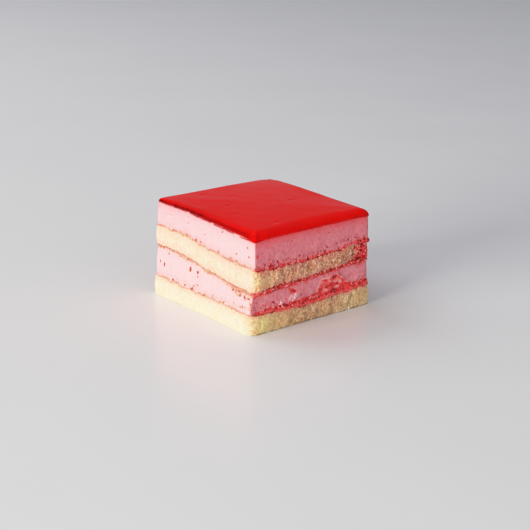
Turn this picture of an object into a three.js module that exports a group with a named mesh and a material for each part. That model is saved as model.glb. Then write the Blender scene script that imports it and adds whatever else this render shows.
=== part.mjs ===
// A square cut of berry mousse cake: two sheets of pale sponge and two of pink mousse,
// with a berry soak where sponge and mousse meet, under a set berry jelly glaze.
// Millimetres, +Z up. The cake stands on z = 0, centred on the origin.
// The left face is at -X and the front face at -Y.

import * as THREE from "three";

// Driving dimensions of the cut
const TOP_SIDE = 52; // side of the square at the top of the upper mousse
const CUT_HEIGHT = 34.9; // foot to the top of the glaze
const CORNER_RADIUS = 0.8; // upright edges left by the knife

// How far each face leans out at its foot: left, front, right, back
const FOOT_SPREAD = [1.9, 2.2, 0.1, 0.2];

// Levels where one layer ends and the next begins, from the foot up.
// corners: height at the back left, front left, front right and back right corner
// swell: extra height midway along the left, front, right and back face
// out: how far the edge stands proud of the cut face
// wave, relief: height of the slow waves along the edge, depth of the crumbs in it
const LEVELS = {
  foot: {
    corners: [0, 0, 0, 0],
    swell: [0, 0, 0, 0],
    edge: { out: 0.1, wave: 0, relief: 0.2 },
  },
  spongeBottomTop: {
    corners: [6.8, 6.9, 7.4, 6.5],
    swell: [0.1, -0.9, -0.3, 0.2],
    edge: { out: 0.3, wave: 0.2, relief: 0.2 },
  },
  mousseLowerFoot: {
    corners: [7.6, 8.0, 9.5, 8.2],
    swell: [0, 0.2, 0.2, 0.1],
    edge: { out: -0.3, wave: 0.25, relief: 0.1 },
  },
  mousseLowerTop: {
    corners: [17.7, 13.0, 15.5, 16.3],
    swell: [0.8, 0.5, 0.4, 0.3],
    edge: { out: -0.4, wave: 0.2, relief: 0.1 },
  },
  spongeMiddleFoot: {
    corners: [18.5, 14.1, 16.7, 17.7],
    swell: [0.8, 0.2, 0.3, 0.4],
    edge: { out: 0.3, wave: 0.25, relief: 0.2 },
  },
  spongeMiddleTop: {
    corners: [25.1, 21.6, 22.5, 24.0],
    swell: [0.8, -0.5, 0.2, 0.3],
    edge: { out: 0.5, wave: 0.35, relief: 0.2 },
  },
  mousseUpperFoot: {
    corners: [25.8, 22.5, 24.2, 25.0],
    swell: [0.8, -0.4, 0.1, 0.2],
    edge: { out: 0, wave: 0.4, relief: 0.1 },
  },
  mousseUpperTop: {
    corners: [33.6, 31.8, 31.7, 32.7],
    swell: [0.7, 0.15, 0.2, 0.2],
    edge: { out: -0.1, wave: 0.1, relief: 0 },
  },
  glazeTop: {
    corners: [35.1, 34.5, 34.4, 34.9],
    swell: [0.1, 0.1, 0.1, 0.1],
    edge: { out: 0, wave: 0.05, relief: 0 },
  },
};

// The waves along every edge: how many go round the cake, and each one's share of the height
const SLOW_WAVES = { round: 5, share: 0.7, start: 0 };
const SHORT_WAVES = { round: 13, share: 0.3, start: 1 };

// Where the soak has pooled and lifts the lower mousse: the front face, with the stretches along it
// where the pool rises and falls as shares of the face
const POOL = { face: 1, rise: [0.52, 0.59], fall: [0.72, 0.84], height: 4.8 };

// The side of each kind of layer: rows of points, how far it bulges and the depth of its crumbs
const SPONGE_SIDE = { rows: 5, bulge: 0.3, relief: 0.35 };
const MOUSSE_SIDE = { rows: 4, bulge: 0.1, relief: 0.08 };
const SOAK_SIDE = { rows: 2, bulge: 0.15, relief: 0.25 };
const CRUMB_SIZE = 2.2;

// The glaze: how far its rounded shoulder runs in at each corner and midway along each face,
// what its top adds to the radius of each corner, the lip that hangs over the mousse,
// and the ripples on its top
const SHOULDER_RUN = { corners: [0.9, 2, 2.2, 2.4], faces: [3.2, 4.8, 2.5, 2.2] };
const TOP_ROUNDING = [0, 0, 0, 8];
const LIP = { out: 0.2, height: 0.3 };
const RIPPLE = { height: 0.12, length: 17 };
const SHOULDER_STEPS = 4;
const TOP_RINGS = [0.7, 0.4]; // size of the rings inside the shoulder, as a share of it

// Points round the outline
const FACES = 4;
const FACE_STEPS = 36;
const CORNER_STEPS = 3;
const QUARTER = Math.PI / 2;

const FINISHES = {
  sponge: { color: 0xf0d99e, roughness: 0.9, metalness: 0 },
  mousse: { color: 0xeeaab4, roughness: 0.6, metalness: 0 },
  soak: { color: 0xc4232a, roughness: 0.4, metalness: 0 },
  glaze: { color: 0xd5120f, roughness: 0.1, metalness: 0 },
};

const { euclideanModulo, lerp, smoothstep } = THREE.MathUtils;

// Each station is one place round the outline. along counts faces: 0 to 1 is the left face, from
// back to front, then come the front, right and back faces, so a whole number is a corner.
// A corner station has a turn from 0 to 1, and one on a face has its share of that face.
function outlineStations() {
  const cornerShare = CORNER_RADIUS / TOP_SIDE;
  const stations = [];
  for (let face = 0; face < FACES; face++) {
    for (let step = 0; step <= CORNER_STEPS; step++) {
      const turn = step / CORNER_STEPS;
      stations.push({ face, turn, share: 0, along: face + (2 * turn - 1) * cornerShare });
    }
    for (let step = 1; step < FACE_STEPS; step++) {
      const share = step / FACE_STEPS;
      stations.push({ face, turn: 1, share, along: face + lerp(cornerShare, 1 - cornerShare, share) });
    }
  }
  return stations;
}

const STATIONS = outlineStations();

// The face that a place round the outline is on, and how far along it, from 0 to 1.
function placeOnFace(along) {
  const around = euclideanModulo(along, FACES);
  const face = Math.floor(around);
  return { around, face, next: (face + 1) % FACES, share: around - face };
}

// The point of a station on a rounded square that stands `out` beyond the cut faces at height z.
function outlinePoint(station, z, out, radius) {
  const lean = 1 - z / CUT_HEIGHT;
  const [left, front, right, back] = FOOT_SPREAD.map((spread) => TOP_SIDE / 2 + spread * lean + out);
  const cornerCentres = [
    [radius - left, back - radius],
    [radius - left, radius - front],
    [right - radius, radius - front],
    [right - radius, back - radius],
  ];
  const [startX, startY] = cornerCentres[station.face];
  const [endX, endY] = cornerCentres[(station.face + 1) % FACES];
  const angle = QUARTER * (1 + station.face + station.turn);
  const x = lerp(startX, endX, station.share) + radius * Math.cos(angle);
  const y = lerp(startY, endY, station.share) + radius * Math.sin(angle);
  return new THREE.Vector3(x, y, z);
}

// Repeatable noise from 0 to 1 at the points of a grid.
function gridValue(column, row) {
  const mixed = Math.sin(column * 127.1 + row * 311.7) * 43758.5453;
  return mixed - Math.floor(mixed);
}

// Smooth noise between the grid points, closing on itself after `period` columns.
function smoothNoise(x, y, period) {
  const column = Math.floor(x);
  const row = Math.floor(y);
  const fadeX = smoothstep(x - column, 0, 1);
  const fadeY = smoothstep(y - row, 0, 1);
  const left = euclideanModulo(column, period);
  const right = euclideanModulo(column + 1, period);
  const low = lerp(gridValue(left, row), gridValue(right, row), fadeX);
  const high = lerp(gridValue(left, row + 1), gridValue(right, row + 1), fadeX);
  return lerp(low, high, fadeY);
}

// Crumb relief from -1 to 1 on the cut faces.
function crumb(along, z) {
  const cellsPerFace = Math.round(TOP_SIDE / CRUMB_SIZE);
  return 2 * smoothNoise(along * cellsPerFace, z / CRUMB_SIZE, FACES * cellsPerFace) - 1;
}

function edgeWave(waves, around) {
  return waves.share * Math.sin((2 * Math.PI * waves.round * around) / FACES + waves.start);
}

// The pooled soak lifts only the foot of the lower mousse.
function poolHeight(level, around) {
  if (level !== LEVELS.mousseLowerFoot) return 0;
  const share = around - POOL.face;
  return POOL.height * smoothstep(share, ...POOL.rise) * (1 - smoothstep(share, ...POOL.fall));
}

// Height of a level at a place round the outline.
function levelHeight(level, along) {
  const { around, face, next, share } = placeOnFace(along);
  const straight = lerp(level.corners[face], level.corners[next], smoothstep(share, 0, 1));
  const swell = level.swell[face] * Math.sin(Math.PI * share);
  const waves = edgeWave(SLOW_WAVES, around) + edgeWave(SHORT_WAVES, around);
  return straight + swell + level.edge.wave * waves + poolHeight(level, around);
}

// The edge of a level, one point for each station.
function levelRing(level) {
  return STATIONS.map((station) => {
    const z = levelHeight(level, station.along);
    const out = level.edge.out + level.edge.relief * crumb(station.along, z);
    return outlinePoint(station, z, out, CORNER_RADIUS);
  });
}

// One row between two levels, a share of the way up, bulging and crumbed.
function sideRing(below, above, share, side) {
  const edgeOut = lerp(below.edge.out, above.edge.out, share) + side.bulge * Math.sin(Math.PI * share);
  return STATIONS.map((station) => {
    const z = lerp(levelHeight(below, station.along), levelHeight(above, station.along), share);
    return outlinePoint(station, z, edgeOut + side.relief * crumb(station.along, z), CORNER_RADIUS);
  });
}

// The middle of a level, where the triangles that fill it meet.
function levelCentre(level) {
  const sum = level.corners.reduce((total, height) => total + height, 0);
  return new THREE.Vector3(0, 0, sum / FACES);
}

// A closed solid through a stack of rings, with each end filled from its centre.
function loftRings(rings, footCentre, topCentre) {
  const points = [...rings.flat(), footCentre, topCentre];
  const count = STATIONS.length;
  const footIndex = rings.length * count;
  const topIndex = footIndex + 1;
  const lastRing = footIndex - count;
  const triangles = [];
  for (let place = 0; place < count; place++) {
    const next = (place + 1) % count;
    triangles.push(footIndex, next, place);
    triangles.push(topIndex, lastRing + place, lastRing + next);
    for (let low = 0; low < lastRing; low += count) {
      const high = low + count;
      triangles.push(low + place, low + next, high + next);
      triangles.push(low + place, high + next, high + place);
    }
  }
  const geometry = new THREE.BufferGeometry().setFromPoints(points);
  geometry.setIndex(triangles);
  geometry.computeVertexNormals();
  return geometry;
}

function layerGeometry(below, above, side) {
  const rings = [levelRing(below)];
  for (let row = 1; row < side.rows; row++) {
    rings.push(sideRing(below, above, row / side.rows, side));
  }
  rings.push(levelRing(above));
  return loftRings(rings, levelCentre(below), levelCentre(above));
}

// A value given at each corner, at a place between two of them.
function betweenCorners(values, { face, next, share }) {
  return lerp(values[face], values[next], share);
}

// How far the glaze's shoulder runs in at a place round the outline.
function shoulderRun(place) {
  const corner = betweenCorners(SHOULDER_RUN.corners, place);
  return lerp(corner, SHOULDER_RUN.faces[place.face], Math.sin(Math.PI * place.share));
}

// The shoulder turns a quarter of an ellipse from the lip up to the top of the glaze.
function shoulderRing(angle) {
  return STATIONS.map((station) => {
    const lip = levelHeight(LEVELS.mousseUpperTop, station.along) + LIP.height;
    const z = lerp(lip, levelHeight(LEVELS.glazeTop, station.along), Math.sin(angle));
    const place = placeOnFace(station.along);
    const inward = 1 - Math.cos(angle);
    const run = shoulderRun(place) * inward;
    const rounding = betweenCorners(TOP_ROUNDING, place) * inward;
    return outlinePoint(station, z, LIP.out - run, CORNER_RADIUS + run + rounding);
  });
}

// Gentle ripples on the set glaze.
function ripple(x, y) {
  const turn = (2 * Math.PI) / RIPPLE.length;
  return RIPPLE.height * Math.sin(turn * (x + 0.4 * y)) * Math.cos(turn * (0.8 * y - 0.3 * x));
}

// A ring of the top, drawn in from the shoulder's last ring towards the middle.
function topRing(shoulder, middle, size) {
  return shoulder.map((point) => {
    const inner = middle.clone().lerp(point, size);
    inner.z += ripple(inner.x, inner.y);
    return inner;
  });
}

function glazeGeometry() {
  const middle = levelCentre(LEVELS.glazeTop);
  const rings = [levelRing(LEVELS.mousseUpperTop)];
  for (let step = 0; step <= SHOULDER_STEPS; step++) {
    rings.push(shoulderRing((QUARTER * step) / SHOULDER_STEPS));
  }
  const shoulder = rings.at(-1);
  TOP_RINGS.forEach((size) => rings.push(topRing(shoulder, middle, size)));
  return loftRings(rings, levelCentre(LEVELS.mousseUpperTop), middle);
}

function namedMesh(name, geometry, finish) {
  const mesh = new THREE.Mesh(geometry, new THREE.MeshStandardMaterial(finish));
  mesh.name = name;
  return mesh;
}

function spongeSheet(name, below, above) {
  return namedMesh(name, layerGeometry(below, above, SPONGE_SIDE), FINISHES.sponge);
}

function mousseSheet(name, below, above) {
  return namedMesh(name, layerGeometry(below, above, MOUSSE_SIDE), FINISHES.mousse);
}

function soakSheet(name, below, above) {
  return namedMesh(name, layerGeometry(below, above, SOAK_SIDE), FINISHES.soak);
}

const cake = new THREE.Group();
cake.add(
  spongeSheet("sponge_bottom", LEVELS.foot, LEVELS.spongeBottomTop),
  soakSheet("berry_soak_bottom", LEVELS.spongeBottomTop, LEVELS.mousseLowerFoot),
  mousseSheet("mousse_lower", LEVELS.mousseLowerFoot, LEVELS.mousseLowerTop),
  soakSheet("berry_soak_under_middle", LEVELS.mousseLowerTop, LEVELS.spongeMiddleFoot),
  spongeSheet("sponge_middle", LEVELS.spongeMiddleFoot, LEVELS.spongeMiddleTop),
  soakSheet("berry_soak_over_middle", LEVELS.spongeMiddleTop, LEVELS.mousseUpperFoot),
  mousseSheet("mousse_upper", LEVELS.mousseUpperFoot, LEVELS.mousseUpperTop),
  namedMesh("berry_glaze", glazeGeometry(), FINISHES.glaze),
);

// The faces lean by different amounts, so the finished cut is centred over the origin.
const middle = new THREE.Box3().setFromObject(cake).getCenter(new THREE.Vector3());
cake.children.forEach((layer) => layer.geometry.translate(-middle.x, -middle.y, 0));

export default cake;
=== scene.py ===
import math

import bmesh
import bpy
import numpy as np
from mathutils import Matrix, Vector
from mathutils.bvhtree import BVHTree


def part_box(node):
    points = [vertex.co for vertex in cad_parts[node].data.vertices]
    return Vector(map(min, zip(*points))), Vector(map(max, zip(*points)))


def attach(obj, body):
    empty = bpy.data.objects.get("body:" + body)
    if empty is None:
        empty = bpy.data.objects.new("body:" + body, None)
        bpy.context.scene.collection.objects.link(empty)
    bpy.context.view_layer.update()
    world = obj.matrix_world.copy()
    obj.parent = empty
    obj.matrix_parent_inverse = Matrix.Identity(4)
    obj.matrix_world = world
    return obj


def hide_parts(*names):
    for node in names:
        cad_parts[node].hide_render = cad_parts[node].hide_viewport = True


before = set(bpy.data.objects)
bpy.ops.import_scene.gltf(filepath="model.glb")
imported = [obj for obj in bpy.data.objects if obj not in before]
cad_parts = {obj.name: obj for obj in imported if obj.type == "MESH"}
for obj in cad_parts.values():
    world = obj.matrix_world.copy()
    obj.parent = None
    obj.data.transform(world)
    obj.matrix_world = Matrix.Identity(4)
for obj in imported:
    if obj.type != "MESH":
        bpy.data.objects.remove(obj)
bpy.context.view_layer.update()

mm = 0.001
faceWays = np.array([(-1, 0), (0, -1), (1, 0), (0, 1)], float)  # left, front, right, back


# Shader nodes

class Value:
    # a number on a socket; sums with it add Math nodes
    def __init__(self, nodes, socket):
        self.nodes = nodes
        self.socket = socket

    def __add__(self, other):
        return self.nodes.maths("ADD", self, other)

    def __radd__(self, other):
        return self.nodes.maths("ADD", other, self)

    def __sub__(self, other):
        return self.nodes.maths("SUBTRACT", self, other)

    def __mul__(self, other):
        return self.nodes.maths("MULTIPLY", self, other)

    def __rmul__(self, other):
        return self.nodes.maths("MULTIPLY", other, self)

    def within(self):
        return self.nodes.maths("ADD", self, 0, clamp=True)


class Nodes:
    # the nodes of a material or of the room
    def __init__(self, holder):
        holder.use_nodes = True
        self.tree = holder.node_tree
        self.tree.nodes.clear()

    def node(self, kind, settings=None, inputs=None):
        made = self.tree.nodes.new(kind)
        for name, value in (settings or {}).items():
            setattr(made, name, value)
        for name, value in (inputs or {}).items():
            self.feed(made.inputs[name], value)
        return made

    def feed(self, socket, value):
        if isinstance(value, Value):
            value = value.socket
        if isinstance(value, bpy.types.NodeSocket):
            self.tree.links.new(value, socket)
        else:
            socket.default_value = value

    def maths(self, operation, first, second, clamp=False):
        settings = {"operation": operation, "use_clamp": clamp}
        return Value(self, self.node("ShaderNodeMath", settings, {0: first, 1: second}).outputs[0])

    def mapRange(self, value, source, target, curve="LINEAR"):
        names = ("From Min", "From Max", "To Min", "To Max")
        inputs = {"Value": value, **dict(zip(names, (*source, *target)))}
        return Value(self, self.node("ShaderNodeMapRange", {"interpolation_type": curve}, inputs).outputs[0])


class Finish(Nodes):
    # one material, with its Principled shader and the nodes that feed it
    def __init__(self, name, **constants):
        self.material = bpy.data.materials.new(name)
        super().__init__(self.material)
        self.shader = self.node("ShaderNodeBsdfPrincipled")
        self.node("ShaderNodeOutputMaterial", inputs={"Surface": self.shader.outputs[0]})
        self.place = self.node("ShaderNodeTexCoord").outputs["Object"]
        self.set(**constants)

    def set(self, **inputs):
        for name, value in inputs.items():
            self.feed(self.shader.inputs[name.replace("_", " ")], value)

    def mark(self, name):  # a value that the mesh carries
        return Value(self, self.node("ShaderNodeAttribute", {"attribute_name": name}).outputs["Fac"])

    def noise(self, size, detail=2.0):
        inputs = {0: self.place, 1: [1 / size] * 3}
        scaled = self.node("ShaderNodeVectorMath", {"operation": "MULTIPLY"}, inputs).outputs[0]
        inputs = {"Vector": scaled, "Scale": 1.0, "Detail": detail}
        return Value(self, self.node("ShaderNodeTexNoise", inputs=inputs).outputs["Fac"])

    def ramp(self, value, *stops):
        made = self.node("ShaderNodeValToRGB", inputs={"Fac": value})
        elements = made.color_ramp.elements
        while len(elements) < len(stops):
            elements.new(1)
        for element, (position, colour) in zip(elements, stops):
            element.position = position
            element.color = (*colour, 1)
        return made.outputs["Color"]

    def blend(self, share, first, second):
        first, second = ((*c, 1) if isinstance(c, tuple) else c for c in (first, second))
        return self.node("ShaderNodeMix", {"data_type": "RGBA"}, {0: share, 6: first, 7: second}).outputs[2]

    def blendByMark(self, name, first, second):
        return self.blend(self.mark(name).within(), first, second)

    def bump(self, height, depth):
        inputs = {"Height": height, "Strength": 1.0, "Distance": depth}
        return self.node("ShaderNodeBump", inputs=inputs).outputs["Normal"]


# The cut faces are worked in columns, upright lines of points all round the cake

outline = {
    "gap": 0.165 * mm,  # between columns, and between rows
    "coreInset": 1.6 * mm,  # corner columns fan out from this far inside the glaze's sides
    "cornerColumns": 22,
    "fieldRows": 224,  # of the random fields, from the floor to the glaze
    "probeEvery": 6,  # columns between the places where the frame is measured
    "probeRows": 9,
    "probeEnd": 0.06,  # share of a layer's height that is left out at both ends
    "probeReach": 0.8 * mm,  # past the core and still inside every layer
    "probeInset": 0.5 * mm,  # from the cut face, where a layer's top and foot are measured
    "soften": 0.45 * mm,  # rounds off the frame's facets
}


class Columns:
    # each column's start inside the cake and way out; along counts the faces from the left one's far end
    def __init__(self, settings):
        self.gap = settings["gap"]
        self.perCorner = settings["cornerColumns"]
        low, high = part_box("berry_glaze")
        centre = np.array(((low + high) / 2)[:2])
        core = (high.x - low.x + high.y - low.y) / 4 - settings["coreInset"]
        start, way = [], []
        for face in range(4):
            before, here = faceWays[face - 1], faceWays[face]
            corner = centre + core * (before + here)
            run = 2 * core * np.array((-here[1], here[0]))
            for turn in (np.arange(self.perCorner) + 0.5) * math.pi / 2 / self.perCorner:
                start.append(corner)
                way.append(before * math.cos(turn) + here * math.sin(turn))
            for share in np.linspace(0, 1, round(2 * core / self.gap) + 1):
                start.append(corner + run * share)
                way.append(here)
        self.start = np.array(start)
        self.way = np.array(way)
        self.square = np.abs(self.way).max(axis=1)  # of a reach, the part straight out from the core
        self.count = len(start)
        self.perFace = self.count // 4
        self.faceLength = self.perFace * self.gap
        self.along = np.mod((np.arange(self.count) - self.perCorner / 2) / self.perFace, 4)

    def at(self, along):
        return along * self.perFace + self.perCorner / 2

    def past(self, along):
        # how far each column is past a place along the faces
        return (np.mod(self.along - along + 2, 4) - 2) * self.faceLength

    def nearTo(self, along, reach):
        # 1 at a place along the faces, fading away to both sides
        return np.exp(-(self.past(along) / reach) ** 2)

    def evenOut(self, values, width):
        # smooths values round the cake
        wave = np.fft.fftfreq(self.count).reshape(-1, *[1] * (values.ndim - 1))
        kept = np.fft.fft(values, axis=0) * np.exp(-2 * (math.pi * width / self.gap * wave) ** 2)
        return np.fft.ifft(kept, axis=0).real

    def byFace(self, values, soften=0.5 * mm):
        # a value for each face, running over into the next one at the corners
        return self.evenOut(np.array(values, float)[np.floor(self.along).astype(int)], soften)


columns = Columns(outline)
pastNearEdge = (columns.along - 1) * columns.faceLength  # with a minus along the left face
print("columns round the cake:", columns.count)


def nodeTree(node):
    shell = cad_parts[node].data
    return BVHTree.FromPolygons([v.co for v in shell.vertices], [tuple(p.vertices) for p in shell.polygons])


def rayHit(tree, x, y, z, way):
    for nudge in (0, 0.004 * mm, -0.004 * mm):  # past an edge that a ray slips through
        spot = tree.ray_cast(Vector((x + nudge, y + nudge, z + nudge)), Vector(way))[0]
        if spot is not None:
            return spot
    raise ValueError(f"no surface from {x:.4f}, {y:.4f}, {z:.4f}")


def reachTo(tree, start, height, way):
    spot = rayHit(tree, *start, height, (*way, 0))
    return math.hypot(spot.x - start[0], spot.y - start[1])


def allRound(values, probed):
    # values measured at the probed columns, read at every column and rounded off
    everywhere = np.arange(columns.count)
    read = [np.interp(everywhere, probed, row, period=columns.count) for row in np.transpose(values)]
    return columns.evenOut(np.stack(read, axis=1), outline["soften"])


def measureLayer(node):
    # a layer's top at every column, and how far its side stands out from the core at some levels
    tree = nodeTree(node)
    probed = np.arange(0, columns.count, outline["probeEvery"])
    shares = np.linspace(outline["probeEnd"], 1 - outline["probeEnd"], outline["probeRows"])
    ends, reaches = [], []
    for start, way in zip(columns.start[probed], columns.way[probed]):
        inside = outline["probeReach"]
        for _ in range(2):
            x, y = start + way * inside
            top = rayHit(tree, x, y, 1, (0, 0, -1)).z
            foot = rayHit(tree, x, y, -1, (0, 0, 1)).z
            inside = reachTo(tree, start, (top + foot) / 2, way) - outline["probeInset"]
        ends.append((top, foot))
        reach = [reachTo(tree, start, foot + (top - foot) * share, way) for share in shares]
        reaches.append(np.maximum(reach, inside))
    top, foot = allRound(ends, probed).T
    square = columns.square[:, None]
    reach = allRound(np.array(reaches) * square[probed], probed) / square
    return top, foot[:, None] + (top - foot)[:, None] * shares, reach


# Random fields over the cut faces, on the columns and on rows of heights

fieldShape = (columns.count, outline["fieldRows"])


def smoothField(seed, size, tall=1.0):
    # bumps about `size` across and `tall` times as high, of unit spread
    noise = np.random.default_rng(seed).standard_normal(fieldShape)
    spread = size / 3 / columns.gap
    across = np.fft.fftfreq(fieldShape[0])[:, None] * spread
    upward = np.fft.fftfreq(fieldShape[1])[None, :] * spread * tall
    kept = np.fft.fft2(noise) * np.exp(-2 * math.pi ** 2 * (across ** 2 + upward ** 2))
    field = np.fft.ifft2(kept).real
    return field / field.std()


unevenField = smoothField(5, 0.5 * mm)  # keeps the rounds from being round


def roundField(seed, perSquareMm, small, large):
    # scattered rounds, 0 between them and 1 in their middles, for pits and for crumbs
    random = np.random.default_rng(seed)
    field = np.zeros(fieldShape)
    count = int(perSquareMm * field.size * (columns.gap / mm) ** 2)
    radii = small + (large - small) * random.random(count) ** 2
    for radius, column, height in zip(radii, random.random(count), random.random(count)):
        stampRound(field, column * fieldShape[0], height * fieldShape[1] * columns.gap, radius)
    return field


def stampRound(field, column, height, radius, tall=1.0):
    row = height / columns.gap
    radius = radius / columns.gap
    reach = math.ceil(1.5 * radius * max(tall, 1))
    acrossAt = np.arange(math.floor(column) - reach, math.floor(column) + reach + 2)
    upAt = np.arange(math.floor(row) - reach, math.floor(row) + reach + 2)
    upAt = upAt[(upAt >= 0) & (upAt < field.shape[1])]
    away = ((acrossAt - column) / radius)[:, None] ** 2 + ((upAt - row) / radius / tall)[None, :] ** 2
    patch = np.ix_(acrossAt % field.shape[0], upAt)
    away *= np.clip(1 + 0.4 * unevenField[patch], 0.45, 2)
    field[patch] = np.maximum(field[patch], np.sqrt(np.clip(1 - away, 0, 1)))


def step(value):
    # eased step, 0 below 0 and 1 above 1
    value = np.clip(value, 0, 1)
    return value * value * (3 - 2 * value)


def alongFaces(places):
    # values given at places along the faces, read at every column
    return np.interp(columns.along, *zip(*places))


# The layers from the foot up, and how each one departs from the frame. Its upper edge has waves and spikes on
# each face, in mm, and lifts over some stretches: place along the faces, and mm. Soak rises into the mousse
# in points: place, rise and half width in mm. The left face is pushed out towards the near edge, in mm, and
# less so by a share up to its top.

plainLayer = {"spikes": (0, 0, 0, 0), "lift": [(0, 0)], "risen": [], "pushed": 0, "pushFade": 0}
layerForms = {
    "sponge_bottom": {
        "seed": 11, "wave": (0.10, 0.14, 0.14, 0.12), "pushed": 1.7,
        "lift": [(0.08, 0), (0.19, 0.7), (0.3, 0.1), (0.36, 0)],
    },
    "berry_soak_bottom": {
        "seed": 12, "wave": (0.10, 0.22, 0.2, 0.2), "spikes": (0.2, 0.4, 0.4, 0.4), "pushed": 1.6,
        "lift": [(0.08, 0), (0.19, 0.7), (0.3, 0.1), (0.36, 0), (1.54, 0), (1.6, 1.0), (1.7, 1.0), (1.78, 0)],
        "risen": [
            (0.206, 0.7, 0.6), (0.325, 1.0, 0.35), (0.41, 0.9, 0.7), (0.486, 0.4, 0.4), (0.544, 0.6, 0.4),
            (0.613, 0.6, 0.4), (0.705, 0.5, 0.8),
        ],
    },
    "mousse_lower": {"seed": 13, "wave": (0.14, 0.2, 0.2, 0.2), "pushed": 1.5, "pushFade": 0.8},
    "berry_soak_under_middle": {
        "seed": 14, "wave": (0.08, 0.14, 0.12, 0.12),
        "lift": [(1.05, 0), (1.15, 0.4), (1.33, 0.5), (1.5, 0.3), (1.65, 0)],
    },
    "sponge_middle": {
        "seed": 15, "wave": (0.08, 0.14, 0.12, 0.12), "pushed": -0.3,
        "lift": [(1.1, 0), (1.3, 0.4), (1.45, 0.1), (1.76, 0.65), (1.95, 0.2), (2, 0)],
    },
    "berry_soak_over_middle": {
        "seed": 16, "wave": (0.08, 0.14, 0.14, 0.14), "spikes": (0.15, 0.3, 0.3, 0.3), "pushed": -0.3,
        "lift": [(1.1, 0), (1.3, 0.4), (1.45, 0.3), (1.76, 0.65), (1.95, 0.2), (2, 0)],
        "risen": [
            (0.421, 0.8, 0.5), (0.655, 1.1, 0.4), (0.323, 0.4, 0.6), (0.78, 0.7, 0.6), (1.134, 1.7, 0.75),
            (1.343, 1.3, 0.7), (1.439, 0.9, 0.6), (1.594, 1.2, 0.6),
        ],
    },
    "mousse_upper": {"seed": 17, "wave": (0.03, 0.05, 0.05, 0.05), "pushed": -0.4},
}
pushReach = 9 * mm
edgeGrain = {"broad": 1.5 * mm, "fine": 0.5 * mm, "spike": 0.8 * mm, "thinnest": 0.2 * mm}


class CutLayer:
    # one layer's cut faces: rows of points from its foot to its top at every column
    def __init__(self, node, below, rounding):
        top, levels, reach = measureLayer(node)
        self.node = node
        self.below = below
        self.form = plainLayer | layerForms[node]
        self.foot = below.top if below else np.zeros(columns.count)
        self.top = np.maximum(top + self.raggedEdge(), self.foot + edgeGrain["thinnest"])
        tall = (self.top - self.foot).max()
        self.rows = max(8, math.ceil(tall / columns.gap)) + 1
        share = np.linspace(0, 1, self.rows)
        self.heights = self.foot[:, None] + (self.top - self.foot)[:, None] * share
        self.fromFoot = self.heights - self.foot[:, None]
        self.fromTop = self.top[:, None] - self.heights
        self.out = np.stack([np.interp(*column) for column in zip(self.heights, levels, reach)])
        self.pushOut(self.form["pushed"] * mm * (1 - self.form["pushFade"] * share ** 2))
        self.roundCorners(rounding)
        # marks the left face, which is coloured as the window lights it: painted light
        self.marks = {"paintedWindowLight": np.broadcast_to(columns.byFace((1, 0, 0, 0))[:, None], self.out.shape)}

    def risenPoints(self):
        rise = np.zeros(columns.count)
        for along, height, halfWidth in self.form["risen"]:
            away = np.abs(columns.past(along)) / mm
            rise = np.maximum(rise, height * np.clip(1 - away / halfWidth, 0, 1))
        return rise

    def raggedEdge(self):
        seed = self.form["seed"]
        broad = smoothField(seed, edgeGrain["broad"])[:, 0]
        fine = smoothField(seed + 40, edgeGrain["fine"])[:, 0]
        spike = np.clip(smoothField(seed + 80, edgeGrain["spike"])[:, 0] - 0.7, 0, 2)
        rise = columns.byFace(self.form["wave"]) * (0.8 * broad + 0.4 * fine)
        rise = rise + columns.byFace(self.form["spikes"]) * spike
        rise = np.maximum(rise, 1.15 * self.risenPoints() + 0.1 * fine)
        return (alongFaces(self.form["lift"]) + rise) * mm

    def corner(self, face):
        # columns of the corner before a face, and the sharp edge that both sides run to there
        fan = face * columns.perFace + np.arange(columns.perCorner)
        before, after = np.abs(columns.way[fan] @ faceWays[[face - 1, face]].T).T
        sharp = np.minimum(self.out[fan[0] - 1] / before[:, None], self.out[fan[-1] + 1] / after[:, None])
        return fan, sharp

    def pushOut(self, amount):
        fan, sharp = self.corner(1)
        push = np.where(columns.along < 1, np.exp(pastNearEdge / pushReach), 0)
        push[fan] = 0
        self.out += push[:, None] * amount
        self.out[fan] += self.corner(1)[1] - sharp

    def roundCorners(self, rounding):
        # draws the left, near, right and far corner in towards an arc, or with a minus out to a sharp edge
        for face, amount in enumerate(rounding):
            fan, sharp = self.corner(face)
            share = np.linspace(0, 1, len(fan))[:, None]
            arc = self.out[fan[0] - 1] * (1 - share) + self.out[fan[-1] + 1] * share
            self.out[fan] += abs(amount) * ((sharp if amount < 0 else arc) - self.out[fan])

    def read(self, field):
        # a random field at every point
        level = np.clip(self.heights / columns.gap, 0, fieldShape[1] - 1.001)
        below = level.astype(int)
        share = level - below
        column = np.arange(columns.count)[:, None]
        return field[column, below] * (1 - share) + field[column, below + 1] * share

    def stain(self, distance, reach, ragged, fade, strength):
        # soak drawn in from an edge: how far in mm and how much on each face, and how ragged and soft it ends
        end = columns.byFace(reach)[:, None] * mm + ragged * self.read(stainField)
        return step(0.5 + (end - distance) / fade) * columns.byFace(strength)[:, None]

    def points(self):
        flat = columns.start[:, None, :] + columns.way[:, None, :] * self.out[:, :, None]
        return np.concatenate([flat, self.heights[:, :, None]], axis=2)


def makePiece(name, points, faces, finish):
    mesh = bpy.data.meshes.new(name)
    mesh.from_pydata(points, [], faces)
    mesh.polygons.foreach_set("use_smooth", np.ones(len(mesh.polygons), bool))
    mesh.materials.append(finish.material)
    piece = bpy.data.objects.new(name, mesh)
    bpy.context.scene.collection.objects.link(piece)
    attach(piece, "root")
    return piece


def ringQuads(low, high):
    # faces between two rings of point numbers, facing out when the rings run round the cake
    return np.stack([low, np.roll(low, -1), np.roll(high, -1), high], axis=1)


def ringFan(ring, middle):
    # faces from a ring of point numbers to one point, facing up when the ring runs round the cake
    return np.stack([ring, np.roll(ring, -1), np.full(len(ring), middle)], axis=1)


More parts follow.
